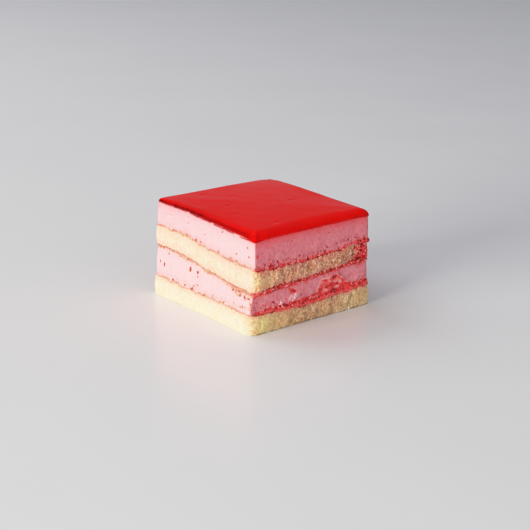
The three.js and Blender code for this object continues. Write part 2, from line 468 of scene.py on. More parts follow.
def addMarks(piece, marks):
    # gives the first points their values, and 0 to the rest
    for name, values in marks.items():
        made = piece.data.attributes.new(name, "FLOAT", "POINT")
        padded = np.zeros(len(piece.data.vertices), np.float32)
        padded[:values.size] = values.ravel()
        made.data.foreach_set("value", padded)


def meshLayer(layer, finish):
    # the side rows, then a rim and a fan close the foot and the top, hidden between the layers
    side = layer.points().reshape(-1, 3)
    number = np.arange(len(side)).reshape(columns.count, layer.rows)
    rim = columns.start + columns.way * 0.2 * mm
    rings, middles = [], []
    for edge in (layer.foot, layer.top):
        height = columns.evenOut(edge, 2 * mm)
        rings.append(np.column_stack([rim, height]))
        middles.append([*rim.mean(axis=0), height.mean()])
    points = np.concatenate([side, *rings, middles])
    footRim = len(side) + np.arange(columns.count)
    topRim = footRim + columns.count
    sideFaces = [ringQuads(number[:, row], number[:, row + 1]) for row in range(layer.rows - 1)]
    quads = np.concatenate([*sideFaces, ringQuads(footRim, number[:, 0]), ringQuads(number[:, -1], topRim)])
    footFan = ringFan(footRim, len(points) - 2)[:, [1, 0, 2]]
    topFan = ringFan(topRim, len(points) - 1)
    faces = [*quads.tolist(), *footFan.tolist(), *topFan.tolist()]
    piece = makePiece(layer.node + "_cut", points, faces, finish)
    addMarks(piece, layer.marks)
    onSide = np.arange(len(faces)) < (layer.rows - 1) * columns.count
    piece.data.polygons.foreach_set("use_smooth", onSide)  # the caps don't bend the light at the edges
    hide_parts(layer.node)
    print(layer.node, "rows", layer.rows, "faces", len(faces))


# Sponge: an open crumb, stained where it meets the soak, browned underneath with painted shade at the foot,
# and painted light on the left face and by the near edge

sponge = {
    "rounding": (0.4, 0.9, 0.9, 0.6),
    # the darkest tone, which the pores reach: painted shade in them
    "poreShadeColour": (0.46, 0.19, 0.085),
    "crumbColour": (0.72, 0.42, 0.23),
    "paleColour": (0.98, 0.79, 0.51),
    "warmColour": (0.86, 0.28, 0.23),
    "litColour": (1.0, 0.80, 0.36),  # painted light: the crumb beside the near edge is coloured as if light came through it
    "crustAndFootShadeColour": (0.36, 0.17, 0.05),
    "grains": (  # size across, how tall for that, depth, and part in the tone
        (1.6 * mm, 1.0, 0.03 * mm, 0.045),
        (0.5 * mm, 1.3, 0.03 * mm, 0.09),
        (0.33 * mm, 1.3, 0.015 * mm, 0.10),
    ),
    "crumb": (0.06 * mm, 0.12),  # height, and part in the tone
    # pores are sunk and coloured darker: painted shade in them
    "pore": (0.12 * mm, 0.25),
    "paintedWindowTone": 0.17,  # painted light: how much paler the left face is coloured, where the window lights it
    "edgeRound": 1.8 * mm,  # how far that painted light of the left face goes on round the near edge
    "stain": {
        "reach": (0.2, 0.2, 0.15, 0.1), "ragged": 0.25 * mm, "fade": 0.25 * mm,
        "strength": (0.5, 1, 0.9, 0.8),
    },
    "warmReach": 1.0 * mm,
    "warmed": (1.52, 0.8, 0.72, 0.64),
    "litRightReach": 14 * mm,
    # the band at the foot: browned crust, and painted shade where the sponge meets the floor, less on the lit
    # left face
    "skin": 0.4 * mm,
    "skinned": (0.2, 0.9, 0.9, 0.9),
}
# How rough each face is, tone along the faces, how moist the crumb is all through, and the painted light by
# the near edge: how much, how far, and how much at the right corner
spongeLayers = {
    "sponge_bottom": {
        "texture": (0.3, 1, 1, 1), "tone": [(1, 0.44), (1.4, 0.46), (2, 0.53)], "warm": 0.0,
        "lit": 0.95, "litReach": 9.0 * mm, "litRight": 0.35,
    },
    "sponge_middle": {
        "texture": (0.6, 1.8, 1.3, 1.3), "tone": [(1, 0.43), (2, 0.44)], "warm": 0.4,
        "lit": 0.65, "litReach": 7.0 * mm, "litRight": 0.0,
    },
}
# The middle sponge is soaked through at the front right corner
soakedCorner = {
    "along": 1.81, "leanPerMm": 0.006, "fromHeight": 16.4 * mm, "until": 2.07, "ragged": 0.03,
    "worn": 0.6 * mm, "wornReach": 1.5 * mm, "crumb": 0.12 * mm, "sunk": 0.2 * mm,
}

spongeCrumbs = roundField(20, 3.0, 0.15 * mm, 0.4 * mm)
spongePores = roundField(21, 0.3, 0.14 * mm, 0.36 * mm)
stainField = smoothField(25, 0.9 * mm)
print("sponge fields ready")


def shapeSponge(layer):
    own = spongeLayers[layer.node]
    inMiddle = layer.node == "sponge_middle"
    # the left face's painted light runs on round the near edge
    roundEdge = step(1 - pastNearEdge / sponge["edgeRound"]) * (np.abs(pastNearEdge) < 3 * mm)
    paintedWindowLight = layer.marks["paintedWindowLight"] = np.maximum(layer.marks["paintedWindowLight"], roundEdge[:, None])
    texture = columns.byFace(own["texture"])[:, None]
    tone = alongFaces(own["tone"])[:, None] + sponge["paintedWindowTone"] * paintedWindowLight
    for seed, (size, tall, depth, share) in enumerate(sponge["grains"], 26):
        grain = texture * layer.read(smoothField(seed, size, tall))
        layer.out += depth * grain
        tone = tone + share * grain
    crumb = texture * (layer.read(spongeCrumbs) - 0.5)
    pore = texture * layer.read(spongePores)
    layer.out += sponge["crumb"][0] * crumb - sponge["pore"][0] * pore
    # pores darken the tone: painted shade
    layer.marks["tone"] = tone + sponge["crumb"][1] * crumb - sponge["pore"][1] * pore
    distance = np.minimum(layer.fromTop, layer.fromFoot) if inMiddle else layer.fromTop
    layer.marks["soak"] = layer.stain(distance, **sponge["stain"])
    uneven = layer.read(stainField)
    # where the left face's light is painted, the stain from the soak reaches further and the moist tint is
    # weaker
    warmReach = sponge["warmReach"] * (1 + 0.4 * paintedWindowLight)
    warm = np.exp(-np.clip(distance + 0.25 * mm * uneven, 0, None) / warmReach)
    warm = warm * columns.byFace(sponge["warmed"])[:, None]
    layer.marks["warm"] = own["warm"] * (1 - 0.2 * paintedWindowLight) + warm
    # painted light beside the near edge and at the right corner
    fromEdge = np.clip(pastNearEdge, 0, None)
    lit = own["lit"] * step(fromEdge / sponge["edgeRound"]) * np.exp(-(fromEdge / own["litReach"]) ** 1.6)
    lit = lit + own["litRight"] * columns.nearTo(2, sponge["litRightReach"])
    layer.marks["lit"] = np.broadcast_to(lit[:, None], warm.shape)
    # browned crust and painted shade at the foot
    skin = step(1.2 - (layer.fromFoot + 0.1 * mm * uneven) / sponge["skin"])
    layer.marks["skin"] = skin * columns.byFace(sponge["skinned"])[:, None] * (not inMiddle)
    if inMiddle:
        soakCorner(layer)


def soakCorner(layer):
    lean = soakedCorner["leanPerMm"] * (layer.heights - soakedCorner["fromHeight"]) / mm
    ragged = soakedCorner["ragged"] * layer.read(stainField)
    inside = columns.along[:, None] - soakedCorner["along"] - lean + ragged
    before = soakedCorner["until"] - columns.along[:, None] + ragged
    mask = step(0.5 + np.minimum(inside, before) / 0.03)
    layer.marks["soak"] = np.maximum(layer.marks["soak"], mask)
    # pale spots there are partly painted glints
    spotted = 0.08 + 0.55 * layer.read(soakPaleSpotsAndGlints) - 0.3 * layer.read(soakSpecks)
    layer.marks["tone"] = layer.marks["tone"] + mask * spotted
    layer.out += mask * (soakedCorner["crumb"] * layer.read(soakCrumbs) - soakedCorner["sunk"])
    layer.out -= soakedCorner["worn"] * columns.nearTo(2, soakedCorner["wornReach"])[:, None]


def spongeFinish():
    finish = Finish(
        "sponge", Roughness=0.9, Specular_IOR_Level=0.2,
        Subsurface_Weight=0.6, Subsurface_Radius=(1.0, 0.75, 0.4), Subsurface_Scale=2.0 * mm,
    )
    fine = finish.noise(0.2 * mm, 3)
    tone = (finish.mark("tone") + 0.3 * (fine - 0.5)).within()
    crumb = finish.ramp(
        tone, (0.1, sponge["poreShadeColour"]), (0.5, sponge["crumbColour"]), (0.9, sponge["paleColour"])
    )
    crumb = finish.blendByMark("lit", crumb, sponge["litColour"])
    crumb = finish.blendByMark("warm", crumb, finish.blend(0.7, crumb, sponge["warmColour"]))
    crumb = finish.blendByMark("skin", crumb, sponge["crustAndFootShadeColour"])
    crumb = finish.blendByMark("soak", crumb, soakedColour(finish, tone - 0.1))
    finish.set(Base_Color=crumb, Normal=finish.bump(fine, 0.04 * mm))
    return finish


# Mousse: smooth and airy, with bubbles, faint upright knife streaks and flecks of berry

mousse = {
    "rounding": (-0.9, -0.9, 0.2, 0),
    "deepColour": (0.60, 0.12, 0.155),
    "colour": (0.85, 0.255, 0.30),
    "paleColour": (0.92, 0.36, 0.40),
    "creamColour": (0.97, 0.60, 0.60),
    "paintedWindowColour": (0.91, 0.335, 0.36),  # painted light: a paler pink for the left face, where the window lights it
    # painted shade in the parting
    "seamColour": (0.03, 0.001, 0.002),
    "bleedColour": (0.95, 0.04, 0.05),
    "tone": {"mousse_lower": 0.56, "mousse_upper": 0.5},
    "clouding": {"mousse_lower": 0.09, "mousse_upper": 0.06},
    "swell": (4 * mm, 0.05 * mm),  # size and depth
    "cloud": (0.8 * mm, 0.012 * mm),
    "streak": (0.3 * mm, 0.003 * mm),
    "footEase": 0.5 * mm,  # over which the foot comes out to the layer below
    "bubbleDepth": 0.08 * mm,
    "fleckDepth": 0.08 * mm,
    "pitDepth": 0.25 * mm,
    "creamy": 0.4,  # how much paler the cream patches are
    "stain": {
        "reach": (-0.1, 0, 0, 0), "ragged": 0.25 * mm, "fade": 0.2 * mm, "strength": (0.12, 0.6, 0.6, 0.6),
    },
    "topStain": {  # the lower mousse under the middle sponge
        "reach": (0.45, 0.6, 0.2, 0.1), "ragged": 0.3 * mm, "fade": 0.25 * mm, "strength": (0.8, 1, 1, 1),
    },
    "paintedShineThrough": (0.45, 0.9 * mm),  # painted light: soak colour shining through beside its lines where the window lights the left face, how much and how far
    "paintedLightPastEdge": (0.45, 4 * mm),  # the left face's painted window light, carried past the near edge of the lower mousse, in the same way
    "bleed": 1.6 * mm,  # how far the glaze tints the mousse under it
    "bled": (0.5, 0.9, 0.8, 0.8),  # how much, on each face
}
# Flecks that show: place along the faces, height and radius in mm, and how tall for their width
flecks = [
    (0.674, 31.1, 0.3, 1), (0.922, 28.8, 0.35, 1), (0.935, 26.0, 0.45, 0.7), (0.822, 25.6, 0.4, 0.9),
    (0.332, 29.9, 0.2, 1), (0.509, 28.1, 0.3, 0.8), (0.375, 14.1, 0.55, 1.2), (0.45, 13.9, 0.55, 1),
    (0.453, 12.4, 0.25, 1.2), (0.453, 9.4, 0.45, 0.4), (0.095, 11.8, 0.4, 2.2), (0.051, 12.3, 0.35, 1),
    (0.138, 16.4, 0.4, 0.9), (0.08, 17.6, 0.35, 1), (0.053, 12.6, 0.3, 1), (0.814, 13.1, 0.45, 1.1),
    (0.873, 13.4, 0.4, 0.7), (0.846, 12.8, 0.5, 0.8), (0.886, 12.2, 0.45, 1.2), (0.933, 12.2, 0.4, 1),
    (0.978, 12.2, 0.35, 1), (0.834, 8.9, 0.3, 1), (0.927, 9.0, 0.35, 1.8), (0.884, 8.0, 0.3, 1),
    (1.634, 29.2, 0.5, 0.6), (1.315, 29.4, 0.3, 1), (1.317, 27.4, 0.2, 1), (1.489, 26.7, 0.2, 1),
    (1.927, 29.8, 0.3, 1), (1.028, 26.6, 0.6, 1.3), (1.3, 12.7, 0.75, 1), (1.316, 12.1, 0.95, 0.9),
    (1.334, 11.4, 0.9, 0.8), (1.387, 9.9, 0.4, 0.9), (1.94, 10.5, 0.4, 0.8), (1.156, 11.9, 0.45, 0.6),
]
leftFlecks = {"until": 0.75, "wider": 1.3}  # the left face's spread a little
# Thin smears of soak on the left, in the same way
smears = [
    (0.81, 13.1, 0.75, 0.8), (0.84, 12.8, 0.8, 0.8), (0.855, 12.1, 0.8, 0.9), (0.875, 11.9, 0.7, 1),
    (0.89, 12.6, 0.75, 0.9), (0.865, 13.0, 0.8, 0.7), (0.93, 12.6, 0.75, 0.7), (0.955, 12.3, 0.7, 0.8),
    (0.975, 12.5, 0.65, 0.8), (0.94, 11.7, 0.55, 1), (0.50, 15.8, 0.8, 0.6), (0.575, 15.3, 0.8, 0.6),
    (0.25, 17.0, 0.8, 0.6), (0.33, 16.4, 0.9, 0.6), (0.68, 14.6, 0.8, 0.6), (0.75, 13.9, 0.8, 0.6),
    (0.90, 8.6, 0.65, 0.7), (0.96, 9.2, 0.65, 0.8), (0.985, 11.0, 0.5, 1.2), (0.99, 9.6, 0.45, 1.4),
    (0.206, 8.6, 0.7, 0.7), (0.325, 8.9, 0.6, 0.8), (0.419, 8.6, 0.8, 0.6), (0.544, 8.1, 0.6, 0.7),
    (0.613, 8.1, 0.6, 0.7), (0.705, 8.2, 0.8, 0.6), (0.8, 7.9, 0.6, 0.7),
]
# Patches of cream on the front, in the same way
creams = [(1.312, 9.3, 1.1, 0.9), (1.335, 9.7, 1.5, 0.75), (1.358, 10.1, 1.2, 0.8), (1.232, 8.5, 1.0, 0.9)]
# Pits scattered over stretches of a layer: seed, how many, from and to along the faces, heights over its foot
# and radii in mm
pits = {
    "mousse_upper": [
        (61, 70, (1.02, 1.98), (0.1, 1.0), (0.14, 0.3)), (62, 9, (0.05, 1.0), (0.4, 8.0), (0.08, 0.18)),
        (63, 50, (2.02, 3.98), (0.3, 6.0), (0.1, 0.3)), (67, 16, (1.02, 1.98), (1.3, 8.0), (0.08, 0.2)),
    ],
    "mousse_lower": [
        (64, 30, (0.76, 1.03), (0.4, 5.5), (0.08, 0.25)), (65, 12, (1.005, 1.03), (0.3, 6.0), (0.15, 0.4)),
        (66, 50, (2.02, 3.98), (0.3, 5.0), (0.1, 0.35)), (68, 22, (0.03, 0.75), (0.6, 9.0), (0.08, 0.22)),
        (69, 36, (1.02, 1.28), (0.1, 1.8), (0.12, 0.35)),
    ],
}
# The parting under the glaze on the left face: a groove, painted dark as its shade
seam = {
    "from": 0.005, "to": 0.985, "below": (0.1 * mm, 0.65 * mm), "half": 0.21 * mm, "depth": 0.3 * mm,
    "dash": 3.2 * mm, "ragged": 0.06 * mm,
}

mousseSwell = smoothField(31, mousse["swell"][0])
mousseClouds = smoothField(34, mousse["cloud"][0])
mousseStreaks = smoothField(32, mousse["streak"][0], tall=14)
bubbles = roundField(33, 0.9, 0.08 * mm, 0.22 * mm)
print("mousse fields ready")


def spotField(layer, places, wider=1.0):
    field = np.zeros(fieldShape)
    for along, height, radius, tall in places:
        size = radius * (wider if along < leftFlecks["until"] else 1.0) * mm
        stampRound(field, columns.at(along), height * mm, size, tall)
    return layer.read(field)


def pitField(layer):
    field = np.zeros(fieldShape)
    for seed, count, stretch, heights, radii in pits[layer.node]:
        for along, over, radius in np.random.default_rng(seed).random((count, 3)):
            column = columns.at(np.interp(along, (0, 1), stretch))
            height = layer.foot[int(column) % columns.count] + np.interp(over, (0, 1), heights) * mm
            stampRound(field, column, height, np.interp(radius ** 2, (0, 1), radii) * mm, 0.8)
    return layer.read(field)


def seamMask(layer):
    share = np.clip((columns.along - seam["from"]) / (seam["to"] - seam["from"]), 0, 1)
    depth = np.interp(share, (0, 1), seam["below"])
    there = step(share * 12) * step((1 - share) * 12) * (columns.along < 1)
    dashes = step(1.4 + 0.8 * smoothField(71, seam["dash"])[:, 0])
    across = np.abs(layer.fromTop - depth[:, None] - seam["ragged"] * layer.read(unevenField))
    return (there * dashes)[:, None] * step(1.5 - across / seam["half"])


def shapeMousse(layer):
    stepOut = (layer.below.out[:, -1] - layer.out[:, 0])[:, None]
    layer.out += stepOut * np.exp(-layer.fromFoot / mousse["footEase"])
    clouds, streaks, bubble = (layer.read(field) for field in (mousseClouds, mousseStreaks, bubbles))
    fleck = spotField(layer, flecks, leftFlecks["wider"])
    pit = pitField(layer)
    layer.out += mousse["swell"][1] * layer.read(mousseSwell)
    layer.out += mousse["cloud"][1] * clouds + mousse["streak"][1] * streaks
    layer.out -= mousse["bubbleDepth"] * bubble + mousse["fleckDepth"] * fleck + mousse["pitDepth"] * pit
    if layer.node == "mousse_upper":
        # on the upper mousse the painted light of the left face fades towards the left corner
        layer.marks["paintedWindowLight"] = layer.marks["paintedWindowLight"] * alongFaces([(0, 0.5), (0.8, 1)])[:, None]
    tone = mousse["tone"][layer.node] + mousse["clouding"][layer.node] * clouds
    tone = tone + 0.02 * streaks - 0.2 * bubble
    tone = tone + mousse["creamy"] * np.clip(1.5 * spotField(layer, creams), 0, 1)
    # flecks are darker where the left face's light is painted
    layer.marks["tone"] = tone - (0.2 + 0.3 * layer.marks["paintedWindowLight"]) * fleck - 0.5 * pit
    stain = np.maximum(stainMousse(layer), 0.9 * spotField(layer, smears))
    layer.marks["soak"] = np.maximum(stain, np.clip(1.6 * np.maximum(fleck, pit), 0, 1))


def stainMousse(layer):
    # soak along the edges; the upper mousse also gets the glaze's tint and the parting under it, a groove
    # with painted shade
    underGlaze = layer.node == "mousse_upper"
    distance = layer.fromFoot if underGlaze else np.minimum(layer.fromTop, layer.fromFoot)
    stain = layer.stain(distance, **mousse["stain"])
    layer.marks["seam"] = layer.marks["bled"] = np.zeros_like(stain)
    if underGlaze:
        bled = columns.byFace(mousse["bled"]) * (1 + 0.25 * columns.nearTo(1.12, 8 * mm))
        layer.marks["bled"] = bled[:, None] * np.exp(-layer.fromTop / mousse["bleed"])
        layer.marks["seam"] = seamMask(layer)
        layer.out -= seam["depth"] * layer.marks["seam"]
    else:
        topStain = layer.stain(layer.fromTop, **mousse["topStain"])
        stain = np.maximum(stain * (1 - inPool()[:, None]), topStain)
        # painted light: the left face's look runs on past the near edge
        amount, reach = mousse["paintedLightPastEdge"]
        paintedLightPastEdge = amount * np.exp(-np.clip(pastNearEdge, 0, None) / reach) * (columns.along > 0.99)
        layer.marks["paintedWindowLight"] = np.maximum(layer.marks["paintedWindowLight"], paintedLightPastEdge[:, None])
    # painted light: soak colour laid beside the lines on the lit left face, as if shining through
    amount, reach = mousse["paintedShineThrough"]
    return stain + amount * layer.marks["paintedWindowLight"] * np.exp(-distance / reach)


def mousseFinish():
    finish = Finish(
        "mousse", Roughness=0.6, Specular_IOR_Level=0.3,
        Subsurface_Weight=0.2, Subsurface_Radius=(1.0, 0.5, 0.5), Subsurface_Scale=0.6 * mm,
    )
    cloud = finish.noise(1.2 * mm)
    fine = finish.noise(0.18 * mm)
    tone = (finish.mark("tone") + 0.15 * (cloud - 0.5) + 0.2 * (fine - 0.5)).within()
    stops = zip((0.1, 0.5, 0.85, 1), ("deepColour", "colour", "paleColour", "creamColour"))
    pink = finish.ramp(tone, *[(place, mousse[name]) for place, name in stops])
    # the left face is painted paler for the window's light
    pink = finish.blendByMark("paintedWindowLight", pink, finish.blend(0.7, pink, mousse["paintedWindowColour"]))
    pink = finish.blendByMark("bled", pink, mousse["bleedColour"])
    pink = finish.blendByMark("soak", pink, soakedColour(finish, tone))
    # painted shade: the parting's groove coloured near black
    pink = finish.blendByMark("seam", pink, mousse["seamColour"])
    finish.set(Base_Color=pink, Normal=finish.bump(fine, 0.02 * mm))
    return finish


# Berry soak: wet red crumb that thins into the mousse

soak = {
    "rounding": (-0.3, -0.6, 0.6, 0.4),
    # From deep red to pink, as the soak mixes with cream: tone and colour
    "reds": (
        (0.05, (0.28, 0.006, 0.007)), (0.35, (0.92, 0.042, 0.045)), (0.65, (0.97, 0.16, 0.15)),
        (0.95, (0.97, 0.46, 0.44)),
    ),
    # Painted light: on the left face, where the window's light goes in, the soak is coloured peach
    "paintedWindowReds": (
        (0.05, (0.11, 0.014, 0.013)), (0.3, (0.30, 0.085, 0.050)), (0.5, (0.50, 0.18, 0.12)),
        (0.9, (0.78, 0.32, 0.245)),
    ),
    # painted light: how the soak's tone shifts on the left face
    "paintedWindowTone": {
        "berry_soak_bottom": -0.1, "berry_soak_under_middle": -0.02, "berry_soak_over_middle": 0.14,
    },
    "crumbHeight": 0.12 * mm,
    "grain": (0.4 * mm, 0.04 * mm),
    "patch": 0.7 * mm,
    "ragged": 0.2 * mm,
    "fade": (0.22 * mm, 0.2 * mm),  # over which the red ends, and how much more on the left
    "speckDepth": 0.15 * mm,
    "lobe": 0.1 * mm,  # how far the pale spots stand out
    "lowFade": 1.1 * mm,  # the bottom soak is evenly pink up to here
    "underOut": 0.35 * mm,  # brings the line under the middle sponge out to the sponge's face on the front
    "underWorn": 0.5 * mm,  # and takes it in at the right corner
    "flap": 0.3 * mm,  # a tip that stands out of the line over it at the right corner
}
# How far the red reaches from the sponge: place along the faces, and mm
reddened = {
    "berry_soak_bottom": [
        (0, 0.5), (0.97, 0.5), (1.03, 1.2), (1.3, 3), (1.45, 9), (2, 9), (2.1, 2.5), (3, 1.5), (4, 0.6),
    ],
    "berry_soak_under_middle": [(0, 1.0), (0.97, 1.0), (1.01, 1.6), (2, 1.6), (2.1, 1.2), (3, 1), (4, 0.7)],
    "berry_soak_over_middle": [
        (0, 0.7), (0.97, 0.7), (1.02, 0.8), (1.12, 0.8), (1.2, 0.6), (1.35, 0.75), (1.45, 0.85), (1.6, 0.9),
        (1.66, 0.5), (1.78, 0.5), (1.85, 1.0), (2, 2), (2.1, 1.2), (3, 0.9), (4, 0.5),
    ],
}
# The pool on the front: its stretch, the pale ridge along its top, the wet spot at its foot, the red to its
# right and the height over which its face evens out
pool = {
    "from": 1.5, "to": 1.86, "ends": 0.05, "ridge": 0.45 * mm, "ridgeHeight": 0.06 * mm,
    "wetAlong": 1.677, "wetHeight": 8.3 * mm, "wetSize": (1.6 * mm, 0.56 * mm), "redFrom": 1.78,
    "foot": 0.9 * mm, "footFade": 0.5 * mm,
}
soakCrumbs = roundField(41, 2.6, 0.2 * mm, 0.5 * mm)
soakGrain = smoothField(42, soak["grain"][0])
soakPatches = smoothField(43, soak["patch"])
soakSpecks = roundField(44, 0.7, 0.16 * mm, 0.42 * mm)
# pale spots: cream mixed into the soak, and painted glints of light on wet crumbs
soakPaleSpotsAndGlints = roundField(45, 0.5, 0.16 * mm, 0.45 * mm)
poolSwirl = smoothField(46, 1.8 * mm, tall=0.6)
print("soak fields ready")


def soakedColour(finish, tone):
    # the left face takes the peach colours painted for the window's light
    return finish.blendByMark("paintedWindowLight", finish.ramp(tone, *soak["reds"]), finish.ramp(tone, *soak["paintedWindowReds"]))


def inPool():
    begun = step((columns.along - pool["from"]) / pool["ends"])
    return begun * step((pool["to"] - columns.along) / pool["ends"])


def shapeSoak(layer):
    fields = (soakCrumbs, soakGrain, soakPatches, soakSpecks, soakPaleSpotsAndGlints)
    crumb, grain, patches, specks, spots = (layer.read(field) for field in fields)
    paintedWindowLight = layer.marks["paintedWindowLight"]
    fromSponge = layer.fromTop if layer.node == "berry_soak_under_middle" else layer.fromFoot
    height = alongFaces(reddened[layer.node]) + 1.2 * layer.risenPoints()
    height = height[:, None] * mm + soak["ragged"] * (0.8 * patches + 0.4 * grain)
    red = step(0.5 + (height - fromSponge) / (soak["fade"][0] + soak["fade"][1] * paintedWindowLight))
    rough = 0.15 + 0.85 * red
    layer.out += rough * (soak["crumbHeight"] * (crumb - 0.5) * (1 - 0.6 * paintedWindowLight) + soak["grain"][1] * grain)
    layer.out += rough * (soak["lobe"] * spots - soak["speckDepth"] * specks)
    tone = 0.36 + 0.22 * (crumb - 0.5) + 0.08 * grain + 0.15 * patches
    # pale spots, partly painted glints, and dark specks
    tone = tone + (0.75 * spots - 0.45 * specks) * (1 - paintedWindowLight)
    if layer.node == "berry_soak_bottom":
        low = step(1.2 - fromSponge / soak["lowFade"])
        tone = tone * (1 - low) + low * (0.55 + 0.06 * patches)
        tone = shapePool(layer, tone)
    elif layer.node == "berry_soak_over_middle":
        layer.out += soak["flap"] * columns.nearTo(1.995, 0.7 * mm)[:, None]
    else:
        outward = columns.byFace((0, 1, 0.5, 0)) * (1 - columns.nearTo(2, 2 * mm))
        layer.out += soak["underOut"] * outward[:, None]
        layer.out -= soak["underWorn"] * columns.nearTo(2, 1.5 * mm)[:, None]
    # on the left face the soak's tone is shifted and its stain thinned for the window's light: painted light
    layer.marks["tone"] = tone + paintedWindowLight * (soak["paintedWindowTone"][layer.node] + 0.1 * patches)
    thin = 1 - paintedWindowLight * (0.15 - 0.15 * np.tanh(patches))
    layer.marks["soak"] = np.maximum(red, 0.9 * specks * (1 - paintedWindowLight)) * thin


def shapePool(layer, tone):
    inside = inPool()[:, None]
    ridge = inside * step(1.4 - (layer.fromTop + 0.15 * mm * layer.read(stainField)) / pool["ridge"])
    wide, tall = pool["wetSize"]
    wet = columns.nearTo(pool["wetAlong"], wide)[:, None]
    wet = wet * np.exp(-((layer.heights - pool["wetHeight"]) / tall) ** 2)
    fill = inside * step((layer.fromFoot - pool["foot"]) / pool["footFade"])
    # pale spots in the pool, partly painted glints
    swirl = 0.52 + 0.18 * layer.read(poolSwirl) + 0.25 * layer.read(soakPaleSpotsAndGlints) - 0.2 * layer.read(soakSpecks)
    redder = step((columns.along - pool["redFrom"]) / pool["ends"])[:, None]
    swirl = swirl - 0.27 * redder + 0.05 * layer.read(soakGrain)
    even = columns.evenOut(layer.out[:, -1:], 0.8 * mm)
    layer.out += fill * (even - layer.out) + pool["ridgeHeight"] * ridge
    return tone * (1 - fill) + fill * swirl + 0.4 * ridge - 0.6 * wet


def soakFinish():
    finish = Finish(
        "berry_soak", Roughness=0.4, Specular_IOR_Level=0.35,
        Subsurface_Weight=0.1, Subsurface_Radius=(1.0, 0.3, 0.3), Subsurface_Scale=0.5 * mm,
    )
    fine = finish.noise(0.22 * mm, 3)
    tone = (finish.mark("tone") + 0.25 * (fine - 0.5)).within()
    cream = finish.blendByMark("paintedWindowLight", mousse["colour"], mousse["paintedWindowColour"])
    cream = finish.blendByMark("soak", cream, soakedColour(finish, tone))
    finish.set(Base_Color=cream, Normal=finish.bump(fine, 0.04 * mm))
    return finish


# Loose crumbs pressed into the cut faces, of the layer's own stuff

crumbs = {
    "sponge": {
        "seed": 81, "perSquareMm": (0.2, 0.7, 0.7, 0.7), "size": (0.1, 0.26), "sunk": 0.5,
        "tone": (0.4, 0.8),
    },
    "berry_soak": {
        "seed": 82, "perSquareMm": (0.3, 1.0, 1.0, 1.0), "size": (0.1, 0.3), "sunk": 0.3,
        "tone": (0.12, 0.75),
    },
}
fewerCrumbs = (0.8, 2 * mm)  # at the right corner, how many fewer and how far that reaches
crumbBall = {"rounds": 1, "lumpy": 0.16}
# Single lumps that show: place along the faces, height and radius in mm, and tone
lumps = {
    "sponge_lumps": {"slot": "sponge", "seed": 83, "places": [
        (1.804, 0.6, 0.9, 0.85), (1.825, 0.9, 0.5, 0.8), (1.985, 2.6, 0.8, 0.75), (1.97, 0.6, 0.6, 0.65),
        (1.7, 0.25, 0.35, 0.6), (1.47, 0.2, 0.3, 0.6),
    ]},
    "mousse_lumps": {"slot": "mousse", "seed": 84, "places": [
        (1.296, 9.5, 0.75, 0.86), (1.312, 9.8, 1.0, 0.9), (1.33, 9.6, 0.95, 0.9), (1.343, 10.1, 1.0, 0.9),
        (1.36, 10.4, 0.7, 0.86), (1.32, 9.1, 0.8, 0.86), (1.223, 8.7, 0.9, 0.9), (1.205, 8.5, 0.35, 0.78),
        (1.478, 9.6, 0.4, 0.75), (1.284, 9.0, 0.3, 0.75), (1.527, 9.4, 0.45, 0.78), (1.175, 8.2, 0.3, 0.8),
        (1.591, 10.8, 0.4, 0.8), (1.521, 14.0, 0.3, 0.75),
    ]},
    "soak_lumps": {"slot": "berry_soak", "seed": 85, "places": [
        (0.423, 25.0, 0.5, 0.3), (0.651, 24.0, 0.55, 0.3), (0.466, 24.8, 0.35, 0.35),
        (0.775, 23.4, 0.45, 0.35), (0.831, 23.2, 0.4, 0.4), (0.303, 25.1, 0.4, 0.4),
        (0.189, 25.3, 0.35, 0.4), (0.047, 17.7, 0.4, 0.35), (0.341, 17.2, 0.55, 0.35),
        (0.435, 17.3, 0.4, 0.4), (0.589, 16.4, 0.45, 0.35), (0.74, 15.0, 0.45, 0.35),
        (0.822, 14.7, 0.4, 0.4), (0.197, 7.6, 0.6, 0.32), (0.33, 7.6, 0.4, 0.3), (0.408, 7.4, 0.55, 0.32),
        (0.537, 7.1, 0.4, 0.35), (0.638, 7.3, 0.4, 0.35), (0.737, 7.4, 0.5, 0.35),
        (0.836, 7.0, 0.35, 0.4), (0.865, 13.3, 0.45, 0.4), (0.913, 8.6, 0.35, 0.3),
    ]},
}
lumpBall = {"rounds": 3, "lumpy": 0.05}
# A curled crumb by the soaked corner
curl = {"along": 1.83, "height": 19.6, "radius": 0.8, "crumbs": 16, "size": 0.28, "tone": 0.66}


def crumbShape(rounds):
    ball = bmesh.new()
    bmesh.ops.create_icosphere(ball, subdivisions=rounds, radius=1)
    points = np.array([point.co for point in ball.verts])
    faces = np.array([[point.index for point in face.verts] for face in ball.faces])
    ball.free()
    return points, faces


def meshCrumbs(name, spots, sizes, marks, seed, ball, slot):
    points, faces = crumbShape(ball["rounds"])
    random = np.random.default_rng(seed)
    lumpy = 1 + ball["lumpy"] * random.standard_normal((len(spots), len(points), 1))
    squashed = 0.75 + 0.5 * random.random((len(spots), 1, 3))
    placed = spots[:, None, :] + sizes[:, None, None] * squashed * lumpy * points
    placed[:, :, 2] = np.maximum(placed[:, :, 2], 0)  # none goes into the floor
    joined = faces + len(points) * np.arange(len(spots))[:, None, None]
    piece = makePiece(name, placed.reshape(-1, 3), joined.reshape(-1, 3).tolist(), finishes[slot])
    addMarks(piece, {mark: np.repeat(values, len(points)) for mark, values in marks.items()})
    print(name, len(spots))


